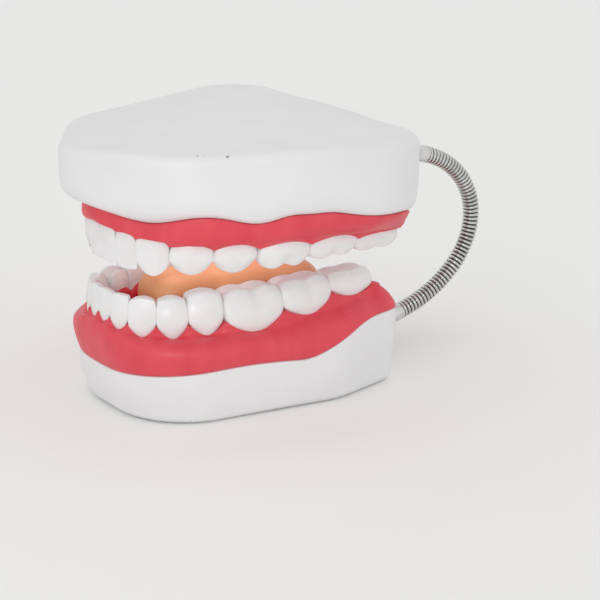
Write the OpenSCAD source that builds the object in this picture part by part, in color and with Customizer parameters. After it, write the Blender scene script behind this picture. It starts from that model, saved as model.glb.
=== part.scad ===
// Giant dental-care teaching model: two jaws with sixteen teeth each, joined at the rear by a gooseneck.
// +X is the patient's left, -Y the front, +Z up; the table is z = 0 under the middle of the jaws.

/* [Whole model] */
// Height of the upper base's flat top above the table
overall_h = 130; // [127:0.5:138]
// Which piece to draw, or all of them

/* [Lower base] */
// Half width between the front corner centres
lower_front_x = 9; // [6:0.5:12]
// Front corner centre, behind the middle when positive
lower_front_y = -39.5; // [-42:0.5:-37]
// Front corner radius
lower_front_r = 37; // [34:0.5:40]
// Half width between the centres of the bulging sides
lower_side_x = 16; // [13:0.5:19]
// Place of the widest part
lower_side_y = 18; // [12:0.5:24]
// Radius of the bulging sides
lower_side_r = 38; // [35:0.5:41]
// Half width between the rear corner centres
lower_rear_x = 39; // [35:0.5:42]
// Rear corner centre
lower_rear_y = 50; // [47:0.5:53]
// Rear corner radius
lower_rear_r = 8; // [6:0.5:12]
// How far the front leans out from the table to the gum line
lower_front_flare = 6.5; // [3:0.5:9]
// How far the sides lean out
lower_side_flare = 3; // [0:0.5:6]
// Mean gum line height at the front and along the sides
lower_rim_h = 25; // [24:0.5:27]
// Rise and fall of the gum line
lower_rim_wave = 1.5; // [0:0.25:2]
// Gum line height at the rear
lower_rim_rear = 38; // [34:0.5:39]

/* [Upper base] */
// Centre of the rounded front point
upper_front_y = -71; // [-74:0.5:-68]
// Radius of the front point
upper_front_r = 26.5; // [22:0.5:30]
// Half width between the front corner centres
upper_corner_x = 22.5; // [20:0.5:25]
// Front corner centre
upper_corner_y = -46; // [-49:0.5:-43]
// Front corner radius
upper_corner_r = 34.5; // [32:0.5:37]
// Half width between the rear corner centres
upper_rear_x = 56.5; // [52:0.5:60]
// Rear corner centre
upper_rear_y = 30.5; // [27:0.5:33]
// Rear corner radius
upper_rear_r = 24.5; // [22:0.5:27]
// How far the front rounds in under itself at the gum line
upper_front_draw = 11.5; // [6:0.5:13]
// How far the sides round in
upper_side_draw = 4; // [0:0.5:6]
// Mean depth of the gum line under the flat top
upper_rim_h = 31; // [29:0.5:33]
// Rise and fall of the gum line
upper_rim_wave = 2.3; // [0:0.25:3]
// Depth of the gum line at the rear
upper_rim_rear = 40; // [38.5:0.5:42]

/* [Shells] */
// Wall of both white bases
wall = 4; // [3:0.25:5]
// Thickness of the flat outer faces
face_t = 3; // [2.5:0.25:4]
// Rounding of the outer edges
edge_r = 4.5; // [3:0.25:5]
// Gap left for glue where one piece seats on another
seat_gap = 0.2; // [0.2:0.05:0.3]
// Depth of the lip that registers a gum in its base
lip_h = 2.5; // [1.5:0.25:4]

/* [Gums] */
// How far the lower gum swells past its base
lower_gum_bulge = 2; // [0.5:0.25:3]
// How far the upper gum swells past its base
upper_gum_bulge = 0.5; // [0:0.25:2]
// Height of that swell above the gum line
gum_roll = 5; // [3:0.5:6]
// Gum collar left round each tooth
gum_cuff = 1.3; // [1:0.1:2]
// Rise of the lower gum between the teeth
lower_papilla_h = 6; // [1:0.25:6.5]
// Rise of the upper gum between the teeth
upper_papilla_h = 2.5; // [1:0.25:4]
// Height of the mouth floor above the table
mouth_floor = 32; // [30:0.5:34]
// Depth of the palate under the upper base's flat top
palate_depth = 36; // [34:0.5:38]

/* [Teeth] */
// Half width of the lower arch, measured on the tooth axes
lower_arch_x = 34.5; // [33:0.5:36]
// Length of the curved part of the lower arch
lower_arch_y = 88; // [85:0.5:90]
// Where the lower arch turns straight
lower_arch_mid = 10; // [7:0.5:12]
// Half width of the upper arch
upper_arch_x = 48.5; // [47:0.5:50]
// Length of the curved part of the upper arch
upper_arch_y = 86.5; // [84:0.5:88]
// Where the upper arch turns straight
upper_arch_mid = 10; // [7:0.5:12]
// Squareness of the lower arch, 2 being an ellipse
lower_arch_square = 2.7; // [2.4:0.1:3]
// Squareness of the upper arch
upper_arch_square = 2.2; // [2:0.1:2.5]
// Widths of the lower teeth along the arch, from the middle back
lower_tooth_w = [8.5, 8.5, 11.5, 13.5, 16.5, 30, 28, 25]; // [6:0.5:32]
// Thickness of the lower teeth across the arch
lower_tooth_b = [9, 9.5, 12.5, 15.5, 17.5, 22, 21.5, 19]; // [6:0.5:30]
// Height of the lower crowns above the gum
lower_crown_h = [15.5, 16.5, 18, 18.5, 20, 20, 16.5, 11.5]; // [8:0.5:24]
// Widths of the upper teeth along the arch
upper_tooth_w = [10.5, 10.5, 14.5, 18.5, 19.5, 24.5, 27, 25]; // [6:0.5:32]
// Thickness of the upper teeth across the arch
upper_tooth_b = [9, 9, 13, 17, 18, 24, 23.5, 20]; // [6:0.5:30]
// Height of the upper crowns below the gum
upper_crown_h = [19, 17, 18, 14.5, 14, 12.5, 11, 9.5]; // [8:0.5:24]
// Height of the lower biting edges above the table
lower_bite_h = [60, 59.5, 59, 59, 61, 60, 59.5, 59]; // [56:0.5:63]
// Depth of the upper biting edges under the flat top
upper_bite_h = [56, 57, 58.5, 58, 58, 57, 56, 56.5]; // [53:0.5:60]
// Depth of the roots in the gum
root_h = 5; // [3:0.5:6]
// Gap between neighbouring teeth
tooth_gap = 0.5; // [0.4:0.05:0.8]
// Gap between a tooth and its socket
socket_gap = 0.12; // [0.1:0.02:0.2]
// Depth of the valleys between the cusps
cusp_h = 3; // [1:0.25:4]

/* [Tongue] */
// Place of the tip
tongue_front = -55; // [-57:0.5:-50]
// Place of the root
tongue_rear = 39; // [34:0.5:42]
// Half width at the broadest
tongue_half_w = 17.5; // [14:0.5:18.5]
// Height of its back above the mouth floor
tongue_h = 30; // [25:0.5:31]
// How far the underside of the tip and the root clears the mouth floor
tongue_lift = 5; // [4.5:0.5:8]
// Radius of the peg under it
tongue_peg_r = 5; // [3:0.25:6]
// Length of the peg
tongue_peg_h = 4; // [3:0.25:5]

/* [Gooseneck] */
// Outer radius over the ribs
hose_r = 4.5; // [4:0.1:5]
// Depth of the grooves between ribs
rib_depth = 0.7; // [0.3:0.05:1]
// Distance from rib to rib
rib_pitch = 2; // [1.8:0.1:3]
// Radius of the bore
hose_bore_r = 2.8; // [2:0.1:3]
// Height of the lower end above the table
hose_low = 12.5; // [11:0.25:14]
// Depth of the upper end under the flat top
hose_high = 30; // [28:0.25:31]
// Height of the rearmost point above the table
hose_mid = 61; // [57:0.5:65]
// Rearmost point of the centre line
hose_reach = 144.5; // [138:0.5:150]
// Where the lower end starts to bend
hose_low_bend = 72; // [70:0.5:78]
// Where the upper end starts to bend
hose_high_bend = 96; // [90:0.5:102]

/* [End fittings] */
// Length of the plain sleeve outside the wall
sleeve_l = 11; // [9:0.5:12]
// Flange radius
flange_r = 6.5; // [6:0.1:7]
// Flange thickness
flange_t = 2; // [1.5:0.25:3]
// Radius of the stud through the wall
stud_r = 3; // [2.5:0.1:3.5]
// Clearance round the stud
stud_gap = 0.2; // [0.15:0.05:0.3]
// Washer radius
washer_r = 6; // [5.5:0.1:6.5]
// Washer thickness
washer_t = 1; // [0.8:0.1:1.5]
// Nut width across its flats
nut_w = 10; // [9:0.25:11]
// Nut height
nut_h = 4; // [3:0.25:5]

/* [Hidden] */
lower = 0;
upper = 1;
jaw_names = ["lower", "upper"];
side_names = ["left", "right"];
tooth_names = ["central_incisor", "lateral_incisor", "canine", "first_premolar", "second_premolar",
    "first_molar", "second_molar", "third_molar"];
function tooth_name(jaw, side, k) = str(jaw_names[jaw], "_", side_names[side], "_", tooth_names[k]);

ivory = [0.93, 0.93, 0.92];
gum_pink = [0.86, 0.36, 0.39];
tongue_tan = [0.83, 0.54, 0.4];
chrome = [0.7, 0.7, 0.7];
steel = [0.55, 0.56, 0.58];

// Stations per tooth round the gum, and past the last tooth
tooth_steps = 4;
rear_steps = 6;

tooth_w = [lower_tooth_w, upper_tooth_w];
tooth_b = [lower_tooth_b, upper_tooth_b];
crown_h = [lower_crown_h, upper_crown_h];
bite_h = [lower_bite_h, upper_bite_h];
arch_x = [lower_arch_x, upper_arch_x];
arch_y = [lower_arch_y, upper_arch_y];
arch_mid = [lower_arch_mid, upper_arch_mid];
arch_square = [lower_arch_square, upper_arch_square];
floor_h = [mouth_floor, palate_depth];
papilla_h = [lower_papilla_h, upper_papilla_h];
gum_bulge = [lower_gum_bulge, upper_gum_bulge];
rim_mean = [lower_rim_h, upper_rim_h];
rim_wave = [lower_rim_wave, upper_rim_wave];
rim_rear = [lower_rim_rear, upper_rim_rear];
// Angle at which the gum line turns to the rear, of one crest of its wave, and from crest to crest
rear_from = [-5, 10];
wave_top = [-33, -69];
wave_turn = [114, 42];
// Sharpness of the curve in the front of each base: early at the foot below, late at the gum line above
foot_curve = 2.3;
brow_curve = 8;

function mix(a, b, t) = a + (b - a) * t;
function ease(t) = (1 - cos(180 * min(1, max(0, t)))) / 2;
function sum(v, n) = n <= 0 ? 0 : v[n - 1] + sum(v, n - 1);
function polar(r, angle, z) = [r * cos(angle), r * sin(angle), z];

// Outlines: the tight band round a row of circles, from the front middle to the rear middle
function tangent(a, b) =
    atan2(b[1] - a[1], b[0] - a[0]) - acos((a[2] - b[2]) / norm([b[0] - a[0], b[1] - a[1]]));
function band_angles(row) = concat([-90], [for (i = [0:len(row) - 2]) tangent(row[i], row[i + 1])], [90]);
function band(row) =
    let (turn = band_angles(row), last = row[len(row) - 1])
    concat([[0, row[0][1] - row[0][2]]],
        [for (i = [0:len(row) - 1]) for (t = [0:0.125:1])
            let (a = mix(turn[i], turn[i + 1], t))
            [row[i][0] + row[i][2] * cos(a), row[i][1] + row[i][2] * sin(a)]],
        [[0, last[1] + last[2]]]);
function refined(pts) = concat(
    [for (i = [0:len(pts) - 2]) for (t = [0:0.0625:0.95]) mix(pts[i], pts[i + 1], t)], [pts[len(pts) - 1]]);
function polar_table(pts) = [for (p = refined(pts)) [atan2(p[1], p[0]), norm(p)]];

lower_outline = polar_table(band([[lower_front_x, lower_front_y, lower_front_r],
    [lower_side_x, lower_side_y, lower_side_r], [lower_rear_x, lower_rear_y, lower_rear_r]]));
upper_outline = polar_table(band([[0, upper_front_y, upper_front_r],
    [upper_corner_x, upper_corner_y, upper_corner_r], [upper_rear_x, upper_rear_y, upper_rear_r]]));
rear_y = [lower_rear_y + lower_rear_r, upper_rear_y + upper_rear_r];

// Share of the front and the rear at an angle round the jaw
function front_share(angle) = 1 - ease((angle + 90) / 60);
function rear_share(jaw, angle) = ease((angle - rear_from[jaw]) / 45);
function end_share(angle) = ease((angle - 55) / 20);

function face_radius(jaw, angle) = lookup(angle, jaw == lower ? lower_outline : upper_outline);
function rim_radius(jaw, angle) = face_radius(jaw, angle) + (1 - end_share(angle)) * (jaw == lower
    ? mix(lower_side_flare, lower_front_flare, front_share(angle))
    : -mix(upper_side_draw, upper_front_draw, front_share(angle)));
function rim_h(jaw, angle) =
    let (wave = cos(360 * (angle - wave_top[jaw]) / wave_turn[jaw]))
    mix(rim_mean[jaw] + rim_wave[jaw] * wave, rim_rear[jaw], rear_share(jaw, angle));

// Arches: half a superellipse in front, straight legs behind; positions by length from the middle
function arch_curve(jaw, t) = t <= 90
    ? [arch_x[jaw] * pow(sin(t), 2 / arch_square[jaw]),
        arch_mid[jaw] - arch_y[jaw] * pow(cos(t), 2 / arch_square[jaw])]
    : [arch_x[jaw], arch_mid[jaw] + t - 90];
arch_table = [for (jaw = [lower, upper])
    [for (t = 0, s = 0; t <= 160;
        s = s + norm(arch_curve(jaw, t + 1) - arch_curve(jaw, t)), t = t + 1) [s, t]]];
function arch_point(jaw, s) = arch_curve(jaw, lookup(s, arch_table[jaw]));
function arch_heading(jaw, s) =
    let (d = arch_point(jaw, s + 1.5) - arch_point(jaw, max(0, s - 1.5))) atan2(d[1], d[0]);
function tooth_start(jaw, k) = sum(tooth_w[jaw], k);
function tooth_mid(jaw, k) = tooth_start(jaw, k) + tooth_w[jaw][k] / 2;
function margin_h(jaw, k) = bite_h[jaw][k] - crown_h[jaw][k];

// Stations of the gum: [angle, arch radius, half thickness, scalloped margin height, plain margin height]
function tooth_station(jaw, k, f) =
    let (p = arch_point(jaw, tooth_start(jaw, k) + f * tooth_w[jaw][k]),
        from = max(0, k - 1),
        start_b = (tooth_b[jaw][from] + tooth_b[jaw][k]) / 2,
        end_b = (tooth_b[jaw][k] + tooth_b[jaw][min(7, k + 1)]) / 2,
        start_z = (margin_h(jaw, from) + margin_h(jaw, k)) / 2,
        end_z = (margin_h(jaw, k) + margin_h(jaw, min(7, k + 1))) / 2,
        bow = pow(sin(180 * f), 0.8),
        papilla = papilla_h[jaw] * (k < 7 ? 1 : 1 - f))
    [atan2(p[1], p[0]), norm(p),
        mix(mix(start_b, end_b, f), tooth_b[jaw][k], bow) / 2,
        mix(mix(start_z, end_z, f) + papilla, margin_h(jaw, k), bow),
        mix(start_z, end_z, f)];
function rear_station(jaw, t) =
    let (end = tooth_station(jaw, 7, 1),
        angle = mix(end[0], 90, t),
        thin = mix(end[2], wall / 2, ease(t * 2)),
        out = rear_y[jaw] / sin(angle) - wall - thin - gum_cuff,
        low = rim_h(jaw, angle) + gum_roll)
    [angle, mix(end[1], out, ease(t * 2)), thin,
        mix(end[3], low, ease(t * 2.5)), mix(end[4], low, ease(t * 2.5))];
function half_stations(jaw) = concat(
    [for (k = [0:7]) for (f = [0:tooth_steps - 1]) tooth_station(jaw, k, f / tooth_steps)],
    [for (i = [0:rear_steps]) rear_station(jaw, i / rear_steps)]);
stations = [half_stations(lower), half_stations(upper)];

// A ring of points from a half ring, and a closed loft through rings between two poles
function mirrored(half) = concat(half,
    [for (i = [len(half) - 2:-1:1]) [-half[i][0], half[i][1], half[i][2]]]);
function loft_points(rings, first, last) = concat([first], [for (r = rings) for (p = r) p], [last]);
function loft_faces(count, n) = concat(
    [for (i = [0:n - 1]) [0, 1 + i, 1 + (i + 1) % n]],
    [for (r = [0:count - 2]) for (i = [0:n - 1]) each
        let (a = 1 + r * n + i, b = 1 + r * n + (i + 1) % n) [[a, a + n, b], [b, a + n, b + n]]],
    [for (i = [0:n - 1]) [count * n + 1, 1 + (count - 1) * n + (i + 1) % n, 1 + (count - 1) * n + i]]);
module loft(rings, first, last) {
    polyhedron(points = loft_points(rings, first, last),
        faces = loft_faces(len(rings), len(rings[0])), convexity = 8);
}
function jaw_rings(jaw, profiles) = [for (r = [0:len(profiles[0]) - 1])
    mirrored([for (i = [0:len(profiles) - 1])
        polar(profiles[i][r][0], stations[jaw][i][0], profiles[i][r][1])])];

// The upper jaw is built upside down from its flat top
module jaw_frame(jaw) {
    if (jaw == lower) children();
    else translate([0, 0, overall_h]) mirror([0, 0, 1]) children();
}

// White base: outer face, rounded edge, wall up to the gum line, and the hollow inside
wall_steps = [0.3, 0.6, 0.85, 1];
function wall_share(jaw, t) = jaw == lower ? 1 - pow(1 - t, foot_curve) : pow(t, brow_curve);
function wall_point(jaw, angle, t, inset) =
    [mix(face_radius(jaw, angle), rim_radius(jaw, angle), wall_share(jaw, t)) - inset,
        t * rim_h(jaw, angle)];
function base_profile(jaw, st) =
    let (face = face_radius(jaw, st[0]),
        edge = edge_r * (1 - end_share(st[0]) * 0.7),
        low = edge_r / rim_h(jaw, st[0]))
    concat([[face - edge, 0], [face - edge * 0.3, edge_r * 0.3], wall_point(jaw, st[0], low, 0)],
        [for (t = wall_steps) wall_point(jaw, st[0], t, 0)],
        [for (t = [1, 0.85, 0.5, low]) wall_point(jaw, st[0], t, wall)],
        [[face - wall - edge_r, face_t]]);
module base(jaw) {
    profiles = [for (st = stations[jaw]) base_profile(jaw, st)];
    color(ivory)
    jaw_frame(jaw)
    difference() {
        loft(jaw_rings(jaw, profiles), [0, 0, 0], [0, 0, face_t]);
        fitting_axis(jaw) cylinder(r = stud_r + stud_gap, h = 6 * wall, center = true, $fn = 48);
    }
}

// Gum: lip inside the rim, swell, scalloped collar, inner slope and the mouth floor or palate
function gum_profile(jaw, st) =
    let (rim = rim_radius(jaw, st[0]), seat = rim_h(jaw, st[0]) + seat_gap, swell = rim + gum_bulge[jaw],
        lip = rim - wall - seat_gap, collar = st[2] + gum_cuff, floor_z = floor_h[jaw],
        inner = st[1] - collar)
    [[lip - 1, seat - lip_h], [lip, seat], [rim, seat], [swell, seat + gum_roll * 0.5],
     [mix(swell, st[1] + collar, 0.35), mix(seat + gum_roll, st[4], 0.75)],
     [st[1] + collar, st[3]], [st[1], st[3] + 0.5], [inner, st[3]],
     [inner * 0.86, mix(floor_z, st[3], 0.35)], [inner * 0.6, floor_z]];
module gum(jaw) {
    profiles = [for (st = stations[jaw]) gum_profile(jaw, st)];
    under = floor_h[jaw] - 2 * tongue_peg_h;
    color(gum_pink)
    jaw_frame(jaw)
    difference() {
        loft(jaw_rings(jaw, profiles), [0, 0, under], [0, 0, floor_h[jaw]]);
        for (side = [0, 1]) for (k = [0:7]) on_arch(jaw, side, k) socket_form(jaw, k);
        if (jaw == lower) translate([0, 0, mouth_floor - tongue_peg_h - seat_gap])
            cylinder(r = tongue_peg_r + seat_gap, h = 2 * tongue_peg_h, $fn = 48);
    }
}

// Teeth: rings of rounded sections from root to biting edge; kinds are incisor, canine, premolar, molar
function tooth_kind(k) = k < 2 ? 0 : k < 3 ? 1 : k < 5 ? 2 : 3;
// Root end, neck and bulge as shares of width, thickness and crown height
bulge_z = 0.38;
root_rings = [[0.33, 0.36, -1], [0.42, 0.44, 0], [0.5, 0.5, bulge_z]];
shoulder_b = [0.3, 0.36, 0.44, 0.46];
shoulder_w = [0.5, 0.44, 0.46, 0.47];
edge_w = [0.46, 0.1, 0.34, 0.39];
edge_b = [0.13, 0.12, 0.34, 0.38];
valley = [0, 0, cusp_h, cusp_h * 0.8];
function tooth_sides(k) = k < 3 ? 12 : 16;
function cusp_drop(k, angle) = tooth_kind(k) == 2 ? valley[2] * (1 - cos(2 * angle + 180)) / 2
    : tooth_kind(k) == 3 ? valley[3] * (1 - cos(4 * angle + 180)) / 2 : 0;
function section(k, half_w, half_b, fan, grow, z, drop) =
    [for (i = [0:tooth_sides(k) - 1])
        let (a = 360 * i / tooth_sides(k), sq = 0.78,
            x = sign(cos(a)) * pow(abs(cos(a)), sq) * (half_w + grow),
            y = sign(sin(a)) * pow(abs(sin(a)), sq) * (half_b + grow))
        [x * (1 + y * fan), y, z - drop * cusp_drop(k, a)]];
function tooth_fan(jaw, k) =
    let (s = tooth_start(jaw, k), e = s + tooth_w[jaw][k])
    (arch_heading(jaw, e) - arch_heading(jaw, s)) * PI / 180 / tooth_w[jaw][k];
module tooth_form(jaw, k) {
    w = tooth_w[jaw][k] - tooth_gap;
    b = tooth_b[jaw][k];
    h = crown_h[jaw][k];
    kind = tooth_kind(k);
    fan = tooth_fan(jaw, k);
    top = h - valley[kind] * 0.9;
    loft(concat([for (r = root_rings)
            section(k, w * r[0], b * r[1], fan, 0, r[2] < 0 ? -root_h : h * r[2], 0)],
        [section(k, w * shoulder_w[kind], b * shoulder_b[kind], fan, 0, h * 0.74, 0),
         section(k, w * edge_w[kind], b * edge_b[kind], fan, 0, h, 1),
         section(k, w * edge_w[kind] * 0.55, b * edge_b[kind] * 0.55, fan, 0, top, 0)]),
        [0, 0, -root_h], [0, 0, top - valley[kind] * 0.25]);
}
module socket_form(jaw, k) {
    w = tooth_w[jaw][k] - tooth_gap;
    b = tooth_b[jaw][k];
    h = crown_h[jaw][k];
    fan = tooth_fan(jaw, k);
    loft(concat([for (r = root_rings) section(k, w * r[0], b * r[1], fan, socket_gap,
            r[2] < 0 ? -root_h - socket_gap : h * r[2], 0)],
        [section(k, w / 2, b / 2, fan, socket_gap, h, 0)]),
        [0, 0, -root_h - socket_gap], [0, 0, h]);
}
module on_arch(jaw, side, k) {
    s = tooth_mid(jaw, k);
    p = arch_point(jaw, s);
    mirror([side, 0, 0])
        translate([p[0], p[1], margin_h(jaw, k)])
            rotate([0, 0, arch_heading(jaw, s) - 180]) children();
}
module tooth(jaw, side, k) {
    color(ivory) jaw_frame(jaw) on_arch(jaw, side, k) tooth_form(jaw, k);
}

// Tongue: sections across its length, flat underneath, with a peg into the mouth floor
function tongue_section(t) =
    let (y = mix(tongue_front, tongue_rear, t),
        half = tongue_half_w * pow(sin(180 * mix(0.12, 0.78, t)), 0.5),
        top = tongue_h * mix(0.7, 1, ease(t * 1.6)) * pow(sin(180 * mix(0.14, 0.84, t)), 0.45),
        foot = half * 0.55,
        z0 = mouth_floor + seat_gap + tongue_lift * (ease(1 - t / 0.35) + ease((t - 0.65) / 0.35)))
    [for (p = [[-foot, 0], [foot, 0], [half * 0.92, 0.35], [half, 0.62], [half * 0.85, 0.86], [half * 0.45, 1],
               [0, 0.94], [-half * 0.45, 1], [-half * 0.85, 0.86], [-half, 0.62], [-half * 0.92, 0.35]])
        [p[0], y, z0 + p[1] * top]];
tongue_steps = 10;
module tongue() {
    rings = [for (i = [tongue_steps:-1:0]) tongue_section(i / tongue_steps)];
    middle = mouth_floor + tongue_h * 0.4;
    color(tongue_tan)
    union() {
        loft(rings, [0, tongue_rear + 1.5, middle], [0, tongue_front - 1.5, middle]);
        translate([0, 0, mouth_floor - tongue_peg_h])
            cylinder(r = tongue_peg_r, h = tongue_peg_h + 4, $fn = 48);
    }
}

// Gooseneck: straight ends and two quarter ellipses, ribs and a bore along them
hose_top = overall_h - hose_high;
hose_start = rear_y[lower] + sleeve_l + 2 * seat_gap;
hose_end = rear_y[upper] + sleeve_l + 2 * seat_gap;
function low_arc(t) = [mix(hose_low_bend, hose_reach, sin(t)), mix(hose_mid, hose_low, cos(t))];
function high_arc(t) = [mix(hose_high_bend, hose_reach, cos(t)), mix(hose_mid, hose_top, sin(t))];
function hose_curve(t) = t < 1 ? [mix(hose_start, hose_low_bend, t), hose_low]
    : t < 2 ? low_arc(90 * (t - 1))
    : t < 3 ? high_arc(90 * (t - 2))
    : [mix(hose_high_bend, hose_end, t - 3), hose_top];
hose_table = [for (t = 0, s = 0; t <= 4;
    s = s + norm(hose_curve(t + 0.02) - hose_curve(t)), t = t + 0.02) [s, t]];
hose_len = hose_table[len(hose_table) - 1][0];
function hose_point(s) = hose_curve(min(4, lookup(s, hose_table)));
function hose_heading(s) =
    let (d = hose_point(min(hose_len, s + 0.5)) - hose_point(max(0, s - 0.5))) atan2(d[1], d[0]);
hose_sides = 8;
function hose_ring(s, r) =
    let (p = hose_point(s), a = hose_heading(s))
    [for (i = [0:hose_sides - 1])
        let (c = 360 * (i + 0.5) / hose_sides, up = r * sin(c))
        [r * cos(c), p[0] - up * sin(a), p[1] + up * cos(a)]];
function ring_faces(count, n) = [for (r = [0:count - 1]) for (i = [0:n - 1]) each
    let (a = r * n + i, b = r * n + (i + 1) % n, next = ((r + 1) % count - r) * n)
    [[a, b, a + next], [b, b + next, a + next]]];
module gooseneck() {
    rib_count = floor(hose_len / rib_pitch);
    step = hose_len / rib_count;
    bore_steps = 30;
    outer = [for (i = [0:rib_count - 1]) each
        [hose_ring(step * i, i == 0 ? hose_r : hose_r - rib_depth), hose_ring(step * (i + 0.5), hose_r)]];
    inner = [for (i = [bore_steps:-1:0]) hose_ring(hose_len * i / bore_steps, hose_bore_r)];
    rings = concat(outer, [hose_ring(hose_len, hose_r)], inner);
    color(chrome)
    polyhedron(points = [for (r = rings) each r],
        faces = ring_faces(len(rings), hose_sides), convexity = 10);
}

// End fittings: sleeve, flange and stud in one, with a washer and a nut inside the wall
fitting_h = [hose_low, hose_high];
module fitting_axis(jaw) {
    translate([0, rear_y[jaw], fitting_h[jaw]]) rotate([-90, 0, 0]) children();
}
stud_in = wall + seat_gap + washer_t + nut_h + 1.5;
module fitting(jaw) {
    color(chrome) jaw_frame(jaw) fitting_axis(jaw) {
        translate([0, 0, -stud_in]) cylinder(r = stud_r, h = stud_in + flange_t, $fn = 48);
        translate([0, 0, seat_gap]) cylinder(r = flange_r, h = flange_t, $fn = 48);
        translate([0, 0, seat_gap]) cylinder(r = hose_r, h = sleeve_l, $fn = 48);
    }
}
module washer(jaw) {
    color(steel) jaw_frame(jaw) fitting_axis(jaw)
        translate([0, 0, -wall - seat_gap - washer_t])
            difference() {
                cylinder(r = washer_r, h = washer_t, $fn = 48);
                translate([0, 0, -1]) cylinder(r = stud_r + stud_gap, h = washer_t + 2, $fn = 48);
            }
}
module nut(jaw) {
    color(steel) jaw_frame(jaw) fitting_axis(jaw)
        translate([0, 0, -wall - 2 * seat_gap - washer_t - nut_h])
            difference() {
                cylinder(d = nut_w / cos(30), h = nut_h, $fn = 6);
                translate([0, 0, -1]) cylinder(r = stud_r + seat_gap, h = nut_h + 2, $fn = 48);
            }
}

base(lower);  // lower_base
gum(lower);  // lower_gum
tongue();
fitting(lower);  // lower_fitting
washer(lower);  // lower_washer
nut(lower);  // lower_nut
gooseneck();
fitting(upper);  // upper_fitting
washer(upper);  // upper_washer
nut(upper);  // upper_nut
base(upper);  // upper_base
gum(upper);  // upper_gum
for (jaw = [lower, upper]) for (side = [0, 1]) for (k = [0:7])
    tooth(jaw, side, k);
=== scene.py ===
import bpy
import bmesh
import bisect
import math
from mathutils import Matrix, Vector


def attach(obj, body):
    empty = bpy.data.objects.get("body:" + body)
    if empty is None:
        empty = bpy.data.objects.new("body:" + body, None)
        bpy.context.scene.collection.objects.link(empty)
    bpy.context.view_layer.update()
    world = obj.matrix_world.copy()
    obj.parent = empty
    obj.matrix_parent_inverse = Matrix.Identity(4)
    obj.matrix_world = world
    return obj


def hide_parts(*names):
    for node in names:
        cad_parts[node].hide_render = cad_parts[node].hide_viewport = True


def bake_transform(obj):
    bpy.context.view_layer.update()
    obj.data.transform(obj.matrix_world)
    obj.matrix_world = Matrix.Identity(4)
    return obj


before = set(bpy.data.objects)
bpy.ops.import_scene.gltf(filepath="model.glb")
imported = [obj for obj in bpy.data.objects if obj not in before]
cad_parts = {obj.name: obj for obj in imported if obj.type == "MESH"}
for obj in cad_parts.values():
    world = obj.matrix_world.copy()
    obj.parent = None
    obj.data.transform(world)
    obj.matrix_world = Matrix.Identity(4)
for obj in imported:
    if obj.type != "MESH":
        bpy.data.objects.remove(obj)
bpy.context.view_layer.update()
mm = 0.001
print("frame loaded:", len(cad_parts), "nodes")

# camera, from the view fitted to the picture; lengths in millimetres, the two limits in metres
view = {"azimuth": 56.17, "elevation": 16.56, "distance": 920, "pixelsPerMm": 2.05,
        "target": (0, 0, 65), "targetPixel": (244.39, 249.83), "picture": 600,
        "sensor": 36, "nearest": 0.05, "farthest": 40}


def makeCamera():
    azimuth = math.radians(view["azimuth"])
    elevation = math.radians(view["elevation"])
    level = math.cos(elevation)
    back = Vector((math.sin(azimuth) * level, -math.cos(azimuth) * level, math.sin(elevation)))
    data = bpy.data.cameras.new("camera")
    camera = bpy.data.objects.new("camera", data)
    bpy.context.scene.collection.objects.link(camera)
    camera.location = (Vector(view["target"]) + back * view["distance"]) * mm
    camera.rotation_euler = back.to_track_quat("Z", "Y").to_euler()
    data.sensor_width = view["sensor"]
    data.lens = view["pixelsPerMm"] * view["distance"] / view["picture"] * view["sensor"]
    data.shift_x = 0.5 - view["targetPixel"][0] / view["picture"]
    data.shift_y = view["targetPixel"][1] / view["picture"] - 0.5
    data.clip_start = view["nearest"]
    data.clip_end = view["farthest"]
    bpy.context.scene.camera = camera


makeCamera()
print("camera set")

# sizes that both jaws share, in millimetres and in degrees round the jaw
model = {"height": 130, "wall": 4, "faceThick": 3, "edge": 4.5, "seat": 0.2, "lip": 2.5, "root": 5,
         "footCurve": 2.3, "browCurve": 8, "leanOver": 60, "rearOver": 45, "endFrom": 55, "endOver": 20,
         "calmAt": -6, "calmWide": 12, "arcSteps": 32, "fineSteps": 16, "archSteps": 660, "turnStep": 1.5}

# one entry per jaw; the upper one is worked out upside down from its flat top
jaws = {
    "lower": {"outline": [(9, -39.5, 37), (16, 18, 38), (39, 50, 8)], "frontLean": 6.5, "sideLean": 3,
              "rim": 25, "wave": 1.5, "waveTop": -33, "waveTurn": 114, "calm": 0,
              "rimRear": 38, "rearFrom": -5,
              "arch": (34.5, 88, 10, 2.7), "floor": 32, "bulge": 2, "papilla": 6,
              "width": [8.5, 8.5, 11.5, 13.5, 16.5, 30, 28, 25],
              "thick": [9, 9.5, 12.5, 15.5, 17.5, 22, 21.5, 19],
              "crown": [15.5, 16.5, 18, 18.5, 20, 20, 16.5, 11.5],
              "bite": [60, 59.5, 59, 59, 61, 60, 59.5, 59]},
    "upper": {"outline": [(0, -71, 26.5), (22.5, -46, 34.5), (56.5, 30.5, 24.5)], "frontLean": -11.5,
              "sideLean": -4, "rim": 31, "wave": 2.3, "waveTop": -69, "waveTurn": 42, "calm": 0.85,
              "rimRear": 42.5, "rearFrom": 10,
              "arch": (48.5, 86.5, 10, 2.2), "floor": 36, "bulge": 0.5, "papilla": 2.3,
              "width": [10.5, 10.5, 14.5, 18.5, 19.5, 24.5, 27, 25],
              "thick": [9, 9, 13, 17, 18, 24, 23.5, 20],
              "crown": [19, 17, 18, 14.5, 14, 12.5, 11, 9.5],
              "bite": [56, 57, 58.5, 58, 58, 57, 56, 56.5]},
}
toothNames = ["central_incisor", "lateral_incisor", "canine", "first_premolar", "second_premolar",
              "first_molar", "second_molar", "third_molar"]
lastTooth = 7
firstMolar = 5


def mix(a, b, t):
    return a + (b - a) * t


def ease(t):
    return (1 - math.cos(math.pi * min(1, max(0, t)))) / 2


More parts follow.
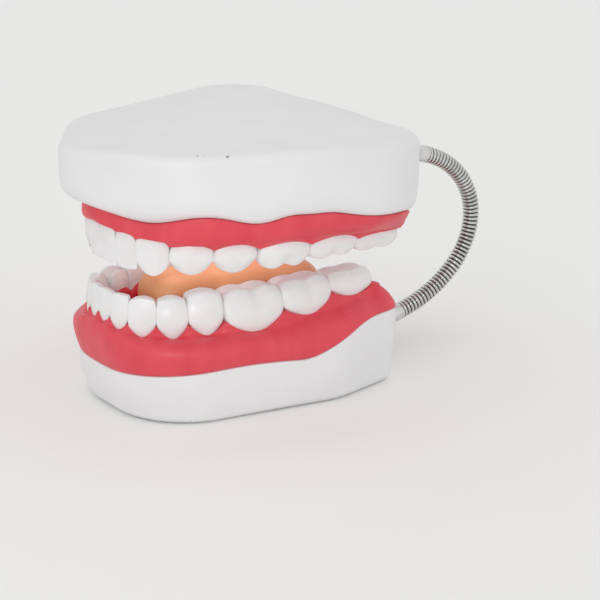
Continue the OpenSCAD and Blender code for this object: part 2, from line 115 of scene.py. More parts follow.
def step(a, b, x):
    t = min(1, max(0, (x - a) / (b - a)))
    return t * t * (3 - 2 * t)


def bell(x, middle, wide):
    return math.exp(-((x - middle) / wide) ** 2)


def lookup(x, xs, ys):
    if x <= xs[0]:
        return ys[0]
    if x >= xs[-1]:
        return ys[-1]
    i = bisect.bisect_right(xs, x)
    return mix(ys[i - 1], ys[i], (x - xs[i - 1]) / (xs[i] - xs[i - 1]))


def smoothLookup(x, xs, ys):  # the same with soft turns at the given points
    if x <= xs[0]:
        return ys[0]
    if x >= xs[-1]:
        return ys[-1]
    i = bisect.bisect_right(xs, x)
    p = [ys[max(0, min(len(ys) - 1, i + d))] for d in (-2, -1, 0, 1)]
    t = (x - xs[i - 1]) / (xs[i] - xs[i - 1])
    return 0.5 * (2 * p[1] + (p[2] - p[0]) * t + (2 * p[0] - 5 * p[1] + 4 * p[2] - p[3]) * t * t
                  + (3 * p[1] - p[0] - 3 * p[2] + p[3]) * t ** 3)


def bezier(a, b, c, d, t):
    return a * (1 - t) ** 3 + b * 3 * t * (1 - t) ** 2 + c * 3 * t * t * (1 - t) + d * t ** 3


def lengthTable(points):  # the length along a line of points, with their two coordinates
    along = [0]
    for a, b in zip(points, points[1:]):
        along.append(along[-1] + math.hypot(b[0] - a[0], b[1] - a[1]))
    return along, [p[0] for p in points], [p[1] for p in points]


# outline of a base: a tight band round its circles, kept as radius by angle
def outlineOf(circles):
    turn = [-90]
    for a, b in zip(circles, circles[1:]):
        reach = math.hypot(b[0] - a[0], b[1] - a[1])
        heading = math.atan2(b[1] - a[1], b[0] - a[0])
        turn.append(math.degrees(heading - math.acos((a[2] - b[2]) / reach)))
    turn.append(90)
    points = [Vector((0, circles[0][1] - circles[0][2]))]
    for i, (x, y, r) in enumerate(circles):
        for n in range(model["arcSteps"] + 1):
            a = math.radians(mix(turn[i], turn[i + 1], n / model["arcSteps"]))
            points.append(Vector((x + r * math.cos(a), y + r * math.sin(a))))
    points.append(Vector((0, circles[-1][1] + circles[-1][2])))
    steps = model["fineSteps"]
    fine = [mix(a, b, n / steps) for a, b in zip(points, points[1:]) for n in range(steps)] + [points[-1]]
    return [math.degrees(math.atan2(p.y, p.x)) for p in fine], [p.length for p in fine]


# tooth arch: half a superellipse in quarter degrees, then straight legs, kept by length from the middle
def archOf(halfWidth, length, middle, square):
    points = []
    for n in range(model["archSteps"]):
        t = math.radians(min(90, n / 4))
        x = halfWidth * math.sin(t) ** (2 / square)
        y = middle - length * max(0, math.cos(t)) ** (2 / square) + max(0, n / 4 - 90)
        points.append((x, y))
    return lengthTable(points)


for jaw in jaws.values():
    jaw["table"] = outlineOf(jaw["outline"])
    jaw["archTable"] = archOf(*jaw["arch"])
    jaw["rearY"] = jaw["outline"][-1][1] + jaw["outline"][-1][2]


# angles run from -90 at the front of the jaw to 90 at the rear
def faceRadius(jaw, angle):
    return lookup(angle, *jaw["table"])


def endShare(angle):
    return ease((angle - model["endFrom"]) / model["endOver"])


def rimRadius(jaw, angle):
    lean = mix(jaw["sideLean"], jaw["frontLean"], 1 - ease((angle + 90) / model["leanOver"]))
    return faceRadius(jaw, angle) + (1 - endShare(angle)) * lean


def rimHeight(jaw, angle):
    wave = math.cos(math.radians(360 * (angle - jaw["waveTop"]) / jaw["waveTurn"]))
    wave *= 1 - jaw["calm"] * bell(angle, model["calmAt"], model["calmWide"])
    rear = ease((angle - jaw["rearFrom"]) / model["rearOver"])
    return mix(jaw["rim"] + jaw["wave"] * wave, jaw["rimRear"], rear)


def wallShare(name, t):
    return 1 - (1 - t) ** model["footCurve"] if name == "lower" else t ** model["browCurve"]


def archAt(jaw, s):
    along, xs, ys = jaw["archTable"]
    x = lookup(abs(s), along, xs)
    return Vector((x if s >= 0 else -x, lookup(abs(s), along, ys)))


def archTurn(jaw, s):  # heading along the arch, and the way out of the mouth
    d = (archAt(jaw, s + model["turnStep"]) - archAt(jaw, s - model["turnStep"])).normalized()
    return d, Vector((d.y, -d.x))


def marginOf(jaw, k):
    return jaw["bite"][k] - jaw["crown"][k]


def upright(name, x, y, z):  # into the shared frame, in metres
    return Vector((x, y, z if name == "lower" else model["height"] - z)) * mm


# rings of points drawn out one after another, with both ends closed; shade gives a point's tone
def loft(count, rings, place, shade=None):
    bm = bmesh.new()
    station = bm.verts.layers.int.new("station")
    tone = bm.verts.layers.float.new("tone")
    ring = bmesh.ops.create_circle(bm, cap_ends=False, segments=count, radius=1)["verts"]
    for i, v in enumerate(ring):
        v[station] = i
        v.co = place(0, i)
        v[tone] = shade(0, i) if shade else 0
    edges = bm.edges[:]
    firstEdges = edges
    for r in range(1, rings):
        grown = bmesh.ops.extrude_edge_only(bm, edges=edges)["geom"]
        fresh = {g for g in grown if isinstance(g, bmesh.types.BMVert)}
        for v in fresh:
            v.co = place(r, v[station])
            v[tone] = shade(r, v[station]) if shade else 0
        edges = [g for g in grown if isinstance(g, bmesh.types.BMEdge) and set(g.verts) <= fresh]
    for loop in (firstEdges, edges):
        bmesh.ops.contextual_create(bm, geom=loop)
    return bm


mergeWithin = 1e-7


def finishPiece(bm, name, material, node, body=None, smooth=0):
    bmesh.ops.remove_doubles(bm, verts=bm.verts, dist=mergeWithin)
    bmesh.ops.recalc_face_normals(bm, faces=bm.faces)
    for f in bm.faces:
        f.smooth = True
    mesh = bpy.data.meshes.new(name)
    bm.to_mesh(mesh)
    bm.free()
    piece = bpy.data.objects.new(name, mesh)
    bpy.context.scene.collection.objects.link(piece)
    mesh.materials.append(material)
    if smooth:
        soften = piece.modifiers.new("soften", "SUBSURF")
        soften.levels = smooth
        soften.render_levels = smooth
    if body:
        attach(piece, body)
    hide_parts(node)
    return piece


# parts of a finish
def newFinish(name, rough, metal=0.0):
    mat = bpy.data.materials.new(name)
    mat.use_nodes = True
    tree = mat.node_tree
    shader = tree.nodes["Principled BSDF"]
    shader.inputs["Roughness"].default_value = rough
    shader.inputs["Metallic"].default_value = metal
    coords = tree.nodes.new("ShaderNodeTexCoord").outputs["Object"]
    return mat, tree, shader, coords


def noiseOn(tree, coords, scale, detail, rough=0.55, stretch=None):
    if stretch:
        turn = tree.nodes.new("ShaderNodeMapping")
        turn.inputs["Scale"].default_value = stretch
        tree.links.new(coords, turn.inputs["Vector"])
        coords = turn.outputs["Vector"]
    node = tree.nodes.new("ShaderNodeTexNoise")
    node.inputs["Scale"].default_value = scale
    node.inputs["Detail"].default_value = detail
    node.inputs["Roughness"].default_value = rough
    tree.links.new(coords, node.inputs["Vector"])
    return node.outputs["Fac"]


def rampOn(tree, value, look):  # from the look's shade to its light
    node = tree.nodes.new("ShaderNodeValToRGB")
    first, second = node.color_ramp.elements
    first.position = look["from"]
    first.color = (*look["shade"], 1)
    second.position = look["to"]
    second.color = (*look["light"], 1)
    tree.links.new(value, node.inputs["Fac"])
    return node.outputs["Color"]


def mixOn(tree, share, a, colour):
    node = tree.nodes.new("ShaderNodeMix")
    node.data_type = "RGBA"
    shareIn, aIn, bIn = [s for s in node.inputs if s.enabled]
    tree.links.new(share, shareIn)
    tree.links.new(a, aIn)
    bIn.default_value = (*colour, 1)
    return [o for o in node.outputs if o.enabled][0]


def bumpOn(tree, shader, value, look):
    node = tree.nodes.new("ShaderNodeBump")
    node.inputs["Strength"].default_value = look["bump"]
    node.inputs["Distance"].default_value = look["bumpDepth"]
    tree.links.new(value, node.inputs["Height"])
    tree.links.new(node.outputs["Normal"], shader.inputs["Normal"])


def toneOf(tree):
    node = tree.nodes.new("ShaderNodeAttribute")
    node.attribute_name = "tone"
    return node.outputs["Fac"]


# neck is a painted pink glow: the gum's light through and off the tooth, mixed in near the gum
enamelLook = {"light": (0.82, 0.82, 0.82), "shade": (0.785, 0.785, 0.782), "neck": (0.82, 0.74, 0.73),
              "rough": 0.32, "scale": 110, "detail": 1, "from": 0.35, "to": 0.62}


def enamelFinish():
    mat, tree, shader, coords = newFinish("toothEnamel", enamelLook["rough"])
    cloud = rampOn(tree, noiseOn(tree, coords, enamelLook["scale"], enamelLook["detail"]), enamelLook)
    # painted glow: pink of the gum's light mixed in near the gum, by the tone
    colour = mixOn(tree, toneOf(tree), cloud, enamelLook["neck"])
    tree.links.new(colour, shader.inputs["Base Color"])
    return mat


# a chip is x, y, z and size in millimetres
paintLook = {"light": (0.81, 0.81, 0.813), "shade": (0.785, 0.785, 0.788), "chip": (0.36, 0.34, 0.32),
             "rough": 0.45, "scale": 45, "detail": 2, "from": 0.3, "to": 0.68,
             "bump": 0.12, "bumpDepth": 0.0008,
             "chips": [(49.4, -57.9, 129.2, 1.1), (51.2, -55.2, 129.2, 0.9), (56, -46.4, 129.3, 1.0)],
             "ragged": 900, "chipReach": 1.6, "chipEdge": 0.25}


def paintFinish():
    mat, tree, shader, coords = newFinish("basePaint", paintLook["rough"])
    cloud = noiseOn(tree, coords, paintLook["scale"], paintLook["detail"])
    colour = rampOn(tree, cloud, paintLook)
    ragged = noiseOn(tree, coords, paintLook["ragged"], 0)
    for x, y, z, size in paintLook["chips"]:
        far = tree.nodes.new("ShaderNodeVectorMath")
        far.operation = "DISTANCE"
        tree.links.new(coords, far.inputs[0])
        far.inputs[1].default_value = (x * mm, y * mm, z * mm)
        grow = tree.nodes.new("ShaderNodeMath")
        grow.operation = "MULTIPLY_ADD"
        grow.inputs[1].default_value = -paintLook["chipReach"] * size * mm
        tree.links.new(ragged, grow.inputs[0])
        tree.links.new(far.outputs["Value"], grow.inputs[2])
        spot = tree.nodes.new("ShaderNodeMapRange")
        spot.inputs["From Min"].default_value = 0.0
        spot.inputs["From Max"].default_value = paintLook["chipEdge"] * size * mm
        spot.inputs["To Min"].default_value = 1.0
        spot.inputs["To Max"].default_value = 0.0
        tree.links.new(grow.outputs["Value"], spot.inputs["Value"])
        colour = mixOn(tree, spot.outputs["Result"], colour, paintLook["chip"])
    tree.links.new(colour, shader.inputs["Base Color"])
    bumpOn(tree, shader, cloud, paintLook)
    return mat


gumLook = {"light": (0.75, 0.066, 0.092), "shade": (0.70, 0.048, 0.072), "inner": (0.62, 0.020, 0.034),
           "rough": 0.42, "scale": 60, "detail": 1, "grain": 0.5, "stretch": (2, 2, 0.35),
           "from": 0.3, "to": 0.7, "bump": 0.15, "bumpDepth": 0.0008}


def gumFinish():
    mat, tree, shader, coords = newFinish("gumPaint", gumLook["rough"])
    streak = noiseOn(tree, coords, gumLook["scale"], gumLook["detail"], gumLook["grain"], gumLook["stretch"])
    outer = rampOn(tree, streak, gumLook)
    colour = mixOn(tree, toneOf(tree), outer, gumLook["inner"])
    tree.links.new(colour, shader.inputs["Base Color"])
    bumpOn(tree, shader, streak, gumLook)
    return mat


tongueLook = {"light": (0.90, 0.47, 0.23), "shade": (0.82, 0.39, 0.18), "rough": 0.5,
              "scale": 60, "detail": 1, "from": 0.3, "to": 0.66,
              "pores": 500, "bump": 0.25, "bumpDepth": 0.0006}


def tongueFinish():
    mat, tree, shader, coords = newFinish("tonguePaint", tongueLook["rough"])
    colour = rampOn(tree, noiseOn(tree, coords, tongueLook["scale"], tongueLook["detail"]), tongueLook)
    tree.links.new(colour, shader.inputs["Base Color"])
    bumpOn(tree, shader, noiseOn(tree, coords, tongueLook["pores"], tongueLook["detail"]), tongueLook)
    return mat


# groove is painted shade: the metal is coloured near black down in the grooves between the ribs
chromeLook = {"light": (0.76, 0.755, 0.75), "shade": (0.58, 0.575, 0.57), "groove": (0.02, 0.02, 0.02),
              "rough": 0.14, "scale": 150, "detail": 1, "from": 0.3, "to": 0.7}


def chromeFinish():
    mat, tree, shader, coords = newFinish("plating", chromeLook["rough"], 1.0)
    cloud = rampOn(tree, noiseOn(tree, coords, chromeLook["scale"], chromeLook["detail"]), chromeLook)
    # painted shade: near-black metal in the grooves, by the groove's depth
    colour = mixOn(tree, toneOf(tree), cloud, chromeLook["groove"])
    tree.links.new(colour, shader.inputs["Base Color"])
    return mat


zincLook = {"light": (0.62, 0.63, 0.65), "shade": (0.45, 0.46, 0.47), "rough": 0.4,
            "scale": 400, "detail": 2, "from": 0.3, "to": 0.7}


def zincFinish():
    mat, tree, shader, coords = newFinish("zincPlate", zincLook["rough"], 1.0)
    colour = rampOn(tree, noiseOn(tree, coords, zincLook["scale"], zincLook["detail"]), zincLook)
    tree.links.new(colour, shader.inputs["Base Color"])
    return mat


enamel = enamelFinish()
paint = paintFinish()
gumPaint = gumFinish()
tonguePaint = tongueFinish()
plating = chromeFinish()
zinc = zincFinish()
print("finishes ready")

# white bases
baseShape = {"stations": 288, "edgeSteps": 7, "wallSteps": 18, "crowd": 0.8, "rimRound": 0.7, "rimCut": 0.3,
             "inset": 0.15, "rearTrim": 0.7, "hollow": (0.9, 0.7, 0.5, 0.3)}


def baseProfile(name, angle):  # radius and height from the flat face up to the rim and down inside
    jaw = jaws[name]
    face = faceRadius(jaw, angle) - baseShape["inset"]
    rim = rimRadius(jaw, angle) - baseShape["inset"]
    high = rimHeight(jaw, angle)
    edge = model["edge"] * (1 - endShare(angle) * baseShape["rearTrim"])
    low = model["edge"] / high
    foot = mix(face, rim, wallShare(name, low))
    rows = []
    for n in range(baseShape["edgeSteps"] + 1):
        a = math.pi / 2 * n / baseShape["edgeSteps"]
        rows.append((mix(face - edge, foot, math.sin(a)), model["edge"] * (1 - math.cos(a))))
    for n in range(1, baseShape["wallSteps"] + 1):
        t = mix(low, 1, (n / baseShape["wallSteps"]) ** baseShape["crowd"])
        rows.append((mix(face, rim, wallShare(name, t)), t * high))
    soft = baseShape["rimRound"]
    cut = soft * baseShape["rimCut"]
    rows[-1] = (rim, high - soft)
    rows += [(rim - cut, high - cut), (rim - soft, high), (rim - model["wall"], high)]
    for t in baseShape["hollow"]:
        rows.append((mix(face, rim, wallShare(name, t)) - model["wall"], t * high))
    inner = face - model["wall"]
    rows += [(inner, model["edge"]), (inner - model["edge"], model["faceThick"])]
    return rows


def makeBase(name):
    count = baseShape["stations"]
    profiles = []
    for i in range(count):
        full = math.radians(-90 + 360 * i / count)
        angle = math.degrees(math.atan2(math.sin(full), abs(math.cos(full))))
        profiles.append([(r * math.cos(full), r * math.sin(full), z) for r, z in baseProfile(name, angle)])
    bm = loft(count, len(profiles[0]), lambda r, i: upright(name, *profiles[i][r]))
    finishPiece(bm, name + "Base", paint, name + "_base", name + "_jaw")


# gums: a list holds a value for each tooth, from the middle to the rear;
# in a section, a pair in round brackets holds the value in front and the value along the sides
gumShape = {
    "perTooth": 20, "rear": 36, "wallSteps": 18, "riseSteps": 8, "lingualSteps": 12, "relax": 22,
    "outerRows": 8, "toneRows": 5, "cuff": 0.12, "reach": 12,
    "neck": 0.94, "between": 0.98, "neckSquare": 2.6,
    "lowerBow": [1.75, 1.75, 1.75, 1.75, 1.75, 2, 2, 2], "upperBow": 0.75,
    "papilla": [0.55, 0.65, 0.9, 1, 1, 1, 1, 1],
    "raise": {"lower": [1, 0.6, 0.4, 0, 0, 0, 0, 0], "upper": [0, 0, 0, 0, 0, 0, 0.5, 1.5]},
    "backRise": {"lower": 10.5, "upper": 1.5}, "backThin": 0.76, "backShare": 0.6,
    "corner": 0.45, "square": {"lower": 0.6, "upper": 0.95}, "roll": {"lower": 4.5, "upper": 2.5},
    "thin": 1.4, "rearGap": 3.3, "rearRoom": 2.2, "rearSoft": 3.2,
    "rearRise": {"lower": 3.6, "upper": -0.6}, "rearTurn": {"lower": 2.1, "upper": 0.45},
    "section": {
        "sideFrom": -58, "sideOver": 50, "swellFrom": -10, "swellOver": 45,
        "shoulder": {"lower": 0, "upper": 0.3}, "sideShoulder": 0.7,
        "hollow": 0.3, "hollowDrop": 8, "lipIn": 1, "seatIn": 0.4, "footRise": 0.15,
        "lowSwell": 2.6, "lowRise": (0.6, 0.35), "highSwell": 2, "highOut": 2, "highRise": (1.15, 0.88),
        "ledgeOut": 0.7, "ledgeDrop": (-0.2, 1.2), "ledgeSoft": 0.5, "lead": 0.2, "leadShare": 0.6,
        "edgeOut": 0.4, "edgeDrop": 0.45, "lipOut": 0.14, "lipDrop": 0.12, "lipTurn": 0.25,
        "troughBetween": 0.1, "troughUnder": 3.2, "troughFrom": 0.25, "troughTo": 0.75,
        "backLipDrop": 0.2, "backEdgeDrop": 0.9, "backOut": 0.6, "backDrop": 1.8,
        "bellyOut": 1.5, "bellyRise": 0.5, "floorTurn": 0.84, "floorRise": 0.12,
        "floorEdge": 0.6, "floorDipAt": 0.35, "floorDip": 0.2, "floorMiddle": 0.12},
}


def shared(values, k, f):  # a value of each tooth, joined halfway to its neighbours'
    before = max(0, k - 1)
    after = min(lastTooth, k + 1)
    return mix((values[before] + values[k]) / 2, (values[k] + values[after]) / 2, f)


def gumBow(name, k, f):  # nought between two teeth, one at the middle of a tooth
    if name == "upper":
        return math.sin(math.pi * f) ** gumShape["upperBow"]
    return 1 - abs(2 * f - 1) ** gumShape["lowerBow"][k]


# stations along the teeth and across the rear, with the gum's edge outside and inside the row
def gumStations(name):
    jaw = jaws[name]
    lines = [marginOf(jaw, k) + gumShape["raise"][name][k] for k in range(lastTooth + 1)]
    square = gumShape["neckSquare"]
    cuff = gumShape["cuff"]
    found = []
    start = 0
    for k, wide in enumerate(jaw["width"]):
        back = gumShape["backThin"] if name == "lower" and k < firstMolar else 1
        for n in range(gumShape["perTooth"]):
            f = n / gumShape["perTooth"]
            last = f if k == lastTooth else 0
            at = archAt(jaw, start + f * wide)
            out = archTurn(jaw, start + f * wide)[1]
            bow = gumBow(name, k, f)
            plain = mix(shared(jaw["thick"], k, f) / 2, jaw["thick"][k] / 2, bow)
            full = (1 - abs(2 * f - 1) ** square) ** (1 / square)
            neck = plain * mix(gumShape["between"], gumShape["neck"], full)
            backPlain = plain * mix(1, back, gumShape["backShare"])
            plainZ = shared(lines, k, f)
            rise = jaw["papilla"] * shared(gumShape["papilla"], k, f)
            rise = mix(rise, gumShape["rearRise"][name], last)
            found.append({"out": out, "reach": at + out * gumShape["reach"], "bow": bow, "soft": 1,
                          "collar": at + out * (neck + cuff), "plain": at + out * (plain + cuff),
                          "backCollar": at - out * (neck * back + cuff),
                          "backPlain": at - out * (backPlain + cuff),
                          "plainZ": plainZ, "z": mix(plainZ + rise, lines[k], bow),
                          "backZ": gumShape["backRise"][name] * (bow * (1 - last))})
        start += wide
    end = archAt(jaw, start)
    thin = gumShape["thin"]
    corner = gumShape["corner"]
    square = gumShape["square"][name]
    half = jaw["thick"][lastTooth] / 2
    neck = half * gumShape["between"] + cuff
    crossX = end.x - neck
    crossY = max(jaw["rearY"] - model["wall"] - gumShape["rearGap"], end.y + gumShape["rearRoom"])
    for n in range(gumShape["rear"] + 1):
        t = n / gumShape["rear"]
        c = min(1, t / corner)
        slide = 1 - max(0, (t - corner) / (1 - corner))
        turn = c * math.pi / 2
        out = Vector((math.cos(turn), math.sin(turn)))
        collar = Vector((slide * crossX + 2 * neck * max(0, math.cos(turn)) ** square,
                         end.y + (crossY + thin - end.y) * math.sin(turn) ** square))
        behind = Vector((slide * crossX, mix(end.y, crossY - thin, ease(c))))
        reach = collar + out * (gumShape["reach"] - neck)
        rim = rimHeight(jaw, math.degrees(math.atan2(reach.y, reach.x)))
        share = ease(c) ** gumShape["rearTurn"][name]
        z = mix(lines[lastTooth] + gumShape["rearRise"][name], rim + gumShape["roll"][name], share)
        found.append({"out": out, "reach": reach, "bow": 0, "soft": mix(1, gumShape["rearSoft"], ease(c)),
                      "collar": collar, "plain": collar + out * (half + cuff - neck),
                      "backCollar": behind, "backPlain": behind, "plainZ": z, "z": z, "backZ": 0})
    return found


def relaxed(points, rounds):
    for n in range(rounds):
        middle = [mix(p, (q + r) / 2, 0.5) for q, p, r in zip(points, points[1:], points[2:])]
        points = [points[0]] + middle + [points[-1]]
    return points


def raised(p, high):
    return Vector((p.x, p.y, high))


# from under the rim, out over the shoulder and up to the teeth
def gumOutside(name, station):
    jaw = jaws[name]
    form = gumShape["section"]
    out, soft, z = station["out"], station["soft"], station["z"]
    reach, collar, plain = station["reach"], station["collar"], station["plain"]
    angle = math.degrees(math.atan2(reach.y, abs(reach.x)))
    ray = Vector((math.cos(math.radians(angle)), math.sin(math.radians(angle))))
    rim = rimRadius(jaw, angle)
    lip = rim - model["wall"] - model["seat"]
    seat = rimHeight(jaw, angle) + model["seat"]
    tall = station["plainZ"] - seat
    rows = [raised(ray * lip * form["hollow"], jaw["floor"] - form["hollowDrop"]),
            raised(ray * (lip - form["lipIn"]), seat - model["lip"]), raised(ray * lip, seat),
            raised(ray * (rim - form["seatIn"]), seat)]
    # a full shoulder in front, a plain slope along the sides
    side = ease((angle - form["sideFrom"]) / form["sideOver"])
    swell = jaw["bulge"] * (1 - ease((angle - form["swellFrom"]) / form["swellOver"]))
    shoulder = mix(form["shoulder"][name], form["sideShoulder"], side)
    ledgeDrop = mix(*form["ledgeDrop"], side) * mix(1, soft, form["ledgeSoft"])
    a = raised(ray * rim, seat + form["footRise"])
    b = raised(ray * (rim + swell * form["lowSwell"]), seat + tall * mix(*form["lowRise"], side))
    c = raised(mix(ray * (rim + swell * form["highSwell"]), plain + out * form["highOut"], shoulder),
               seat + tall * mix(*form["highRise"], side))
    d = raised(plain + out * form["ledgeOut"], station["plainZ"] - ledgeDrop)
    e = raised(collar + out * form["edgeOut"] * soft, z - form["edgeDrop"] * soft)
    lead = d + (d - c) * form["lead"]
    pull = mix(lead, e, form["leadShare"])
    wallSteps, riseSteps = gumShape["wallSteps"], gumShape["riseSteps"]
    wall = [bezier(a, b, c, d, n / wallSteps) for n in range(wallSteps)]
    wall += [bezier(d, lead, pull, e, n / riseSteps) for n in range(riseSteps + 1)]
    rows += relaxed(wall, gumShape["relax"])
    rows += [raised(collar + out * form["lipOut"] * soft, z - form["lipDrop"] * soft),
             raised(collar - out * form["lipTurn"], z)]
    return rows


# under the tooth, over the edge on the tongue's side and down to the mouth floor
def gumInside(name, station):
    form = gumShape["section"]
    floor = jaws[name]["floor"]
    out, soft, z = station["out"], station["soft"], station["z"]
    collar, back, plain = station["collar"], station["backCollar"], station["backPlain"]
    deep = z - mix(form["troughBetween"], form["troughUnder"], station["bow"])
    rows = [raised(mix(collar, back, share), deep) for share in (form["troughFrom"], form["troughTo"])]
    z += station["backZ"]
    rows += [raised(back + out * form["lipTurn"], z),
             raised(back - out * form["lipOut"] * soft, z - form["backLipDrop"] * soft),
             raised(back - out * form["edgeOut"] * soft, z - form["backEdgeDrop"] * soft)]
    a = raised(mix(back, plain, 0.5) - out * form["backOut"], z - form["backDrop"] * soft)
    b = raised(plain - out * form["bellyOut"], mix(floor, station["plainZ"], form["bellyRise"]))
    c = raised(plain * form["floorTurn"], floor + (station["plainZ"] - floor) * form["floorRise"])
    d = raised(plain * form["floorEdge"], floor)
    steps = gumShape["lingualSteps"]
    rows += [bezier(a, b, c, d, n / (steps - 1)) for n in range(steps)]
    rows += [raised(plain * form["floorDipAt"], floor - form["floorDip"]),
             raised(plain * form["floorMiddle"], floor)]
    return rows


def makeGum(name):
    sections = [gumOutside(name, station) + gumInside(name, station) for station in gumStations(name)]
    half = len(sections)
    count = 2 * half - 2
    inside = gumShape["outerRows"] + gumShape["wallSteps"] + gumShape["riseSteps"]

    def place(r, i):
        side = 1 if i < half else -1
        p = sections[i if i < half else count - i][r]
        return upright(name, side * p.x, p.y, p.z)

    bm = loft(count, len(sections[0]), place, lambda r, i: step(inside, inside + gumShape["toneRows"], r))
    finishPiece(bm, name + "Gum", gumPaint, name + "_gum", name + "_jaw")


# teeth: a divided cube drawn out to width and thickness by height, then cusps and grooves;
# heights and the pairs named over or lift are shares of the crown
toothShape = {
    "cuts": 13, "crowd": 0.9, "tall": 0.5, "gap": -0.4, "sideRound": 0.02,
    "faceRound": {"incisor": 0.32, "canine": 0.42, "premolar": 0.4, "molar": 0.34},
    "heights": [-0.35, 0, 0.1, 0.25, 0.45, 0.65, 0.88, 1],
    "lower": {
        "incisor": {"wide": [0.25, 0.4, 0.6, 0.88, 0.99, 1, 1, 0.96],
                    "thick": [0.75, 0.93, 0.97, 1, 0.92, 0.74, 0.48, 0.32]},
        "canine": {"wide": [0.28, 0.46, 0.67, 0.92, 1, 1, 0.99, 0.92],
                   "thick": [0.75, 0.93, 0.97, 1, 0.97, 0.85, 0.62, 0.46]},
        "premolar": {"wide": [0.28, 0.46, 0.67, 0.92, 1, 1, 0.98, 0.9],
                     "thick": [0.75, 0.93, 0.97, 1, 1, 0.96, 0.84, 0.68]},
        "molar": {"wide": [0.35, 0.5, 0.7, 0.93, 1, 1, 0.98, 0.9],
                  "thick": [0.75, 0.93, 0.97, 1, 1, 0.95, 0.82, 0.64]}},
    "upper": {
        "incisor": {"wide": [0.7, 0.84, 0.9, 0.96, 1, 1, 0.98, 0.93],
                    "thick": [0.75, 0.93, 0.97, 0.99, 0.9, 0.7, 0.44, 0.28]},
        "canine": {"wide": [0.7, 0.86, 0.93, 0.99, 1, 1, 0.96, 0.84],
                   "thick": [0.75, 0.93, 0.97, 1, 0.97, 0.85, 0.62, 0.46]},
        "premolar": {"wide": [0.7, 0.86, 0.93, 0.99, 1, 1, 0.96, 0.84],
                     "thick": [0.75, 0.93, 0.97, 1, 1, 0.96, 0.86, 0.72]},
        "molar": {"wide": [0.7, 0.86, 0.93, 0.99, 1, 1, 0.97, 0.88],
                  "thick": [0.75, 0.93, 0.97, 1, 1, 0.97, 0.92, 0.84]}},
    "edgeDrop": {"lower": {"incisor": 0.4, "canine": 1.6, "premolar": 1.5},
                 "upper": {"incisor": 0.6, "canine": 4.2, "premolar": 3.6}},
    "edgeCurve": 1.9, "cuspLift": (0.35, 1),
    "fossa": {"premolar": 2.2, "molar": 3.2}, "notch": [1, 0.75, 0.5],
    "outerCusps": [(-0.5, 0.8), (0.52, 0.8)], "innerCusps": [(-0.5, -0.75), (0.5, -0.75)],
    "cuspSize": (0.5, 0.6), "premolarCusp": (0.62, 0.5), "lingual": {"lower": 0.62, "upper": 0.85},
    "frontLean": 0.42, "leanOver": (0.1, 0.9), "tuck": 0.08, "tuckOver": (0.2, 1),
    "sideGroove": 0.09, "grooveAt": 0.1, "grooveWide": 0.2, "grooveOver": (0.25, 0.8),
    "gumGlow": 0.2, "toneOver": (0, 0.2),
}


def cuspDrop(kind, name, k, u, w):
    lingual = toothShape["lingual"][name]
    if kind == "molar":
        wide, deep = toothShape["cuspSize"]
        near = [bell(u, x, wide) * bell(w, y, deep) for x, y in toothShape["outerCusps"]]
        near += [bell(u, x, wide) * bell(w, y, deep) * lingual for x, y in toothShape["innerCusps"]]
        return toothShape["fossa"]["molar"] * toothShape["notch"][k - firstMolar] * (1 - max(near))
    drop = toothShape["edgeDrop"][name][kind] * abs(u) ** toothShape["edgeCurve"]
    if kind == "premolar":
        middle, wide = toothShape["premolarCusp"]
        near = max(bell(w, middle, wide), bell(w, -middle, wide) * lingual)
        drop += toothShape["fossa"]["premolar"] * (1 - near)
    return drop


def kindOf(k):
    return toothNames[k].split("_")[-1]


def makeTooth(name, side, k):
    jaw = jaws[name]
    kind = kindOf(k)
    form = toothShape[name][kind]
    wide, high = jaw["width"][k], jaw["crown"][k]
    start = sum(jaw["width"][:k])
    at = archAt(jaw, start + wide / 2)
    along, out = archTurn(jaw, start + wide / 2)
    fan = archTurn(jaw, start)[0].angle_signed(archTurn(jaw, start + wide)[0]) / wide
    halfWide = (wide - toothShape["gap"]) / 2
    halfThick = jaw["thick"][k] / 2
    bm = bmesh.new()
    tone = bm.verts.layers.float.new("tone")
    bmesh.ops.create_cube(bm, size=2)
    bmesh.ops.subdivide_edges(bm, edges=bm.edges[:], cuts=toothShape["cuts"], use_grid_fill=True)
    for v in bm.verts:
        u, w, t = v.co
        z = mix(-model["root"], high + toothShape["tall"], ((t + 1) / 2) ** toothShape["crowd"])
        s = z / high
        thick = smoothLookup(s, toothShape["heights"], form["thick"])
        x = u * math.sqrt(1 - toothShape["sideRound"] * w * w)
        x *= smoothLookup(s, toothShape["heights"], form["wide"]) * halfWide
        y = w * math.sqrt(1 - toothShape["faceRound"][kind] * u * u)
        y *= thick * halfThick
        z -= cuspDrop(kind, name, k, u, w) * step(*toothShape["cuspLift"], s)
        if name == "lower" and k < firstMolar and y < 0:
            y *= gumShape["backThin"]
        if kind in ("incisor", "canine"):
            y += halfThick * (1 - thick) * toothShape["frontLean"] * step(*toothShape["leanOver"], s)
        else:
            if kind == "molar" and w > 0:
                groove = toothShape["sideGroove"] * bell(u, toothShape["grooveAt"], toothShape["grooveWide"])
                y *= 1 - groove * step(*toothShape["grooveOver"], s) * w
            y -= halfThick * toothShape["tuck"] * step(*toothShape["tuckOver"], s)
        x *= 1 + y * abs(fan)
        p = at + along * x + out * y
        # tone: share of the painted pink gum glow, strongest at the gum and gone by a fifth of the crown
        v[tone] = toothShape["gumGlow"] * (1 - step(*toothShape["toneOver"], s))
        v.co = upright(name, p.x if side == "left" else -p.x, p.y, marginOf(jaw, k) + z)
    node = name + "_" + side + "_" + toothNames[k]
    pieceName = node.replace("_", " ").title().replace(" ", "")
    finishPiece(bm, pieceName, enamel, node, name + "_jaw", 1)


for name in jaws:
    makeBase(name)
    makeGum(name)
    print(name, "base and gum built")
for name in jaws:
    for side in ("left", "right"):
        for k in range(len(toothNames)):
            makeTooth(name, side, k)
print("teeth built")

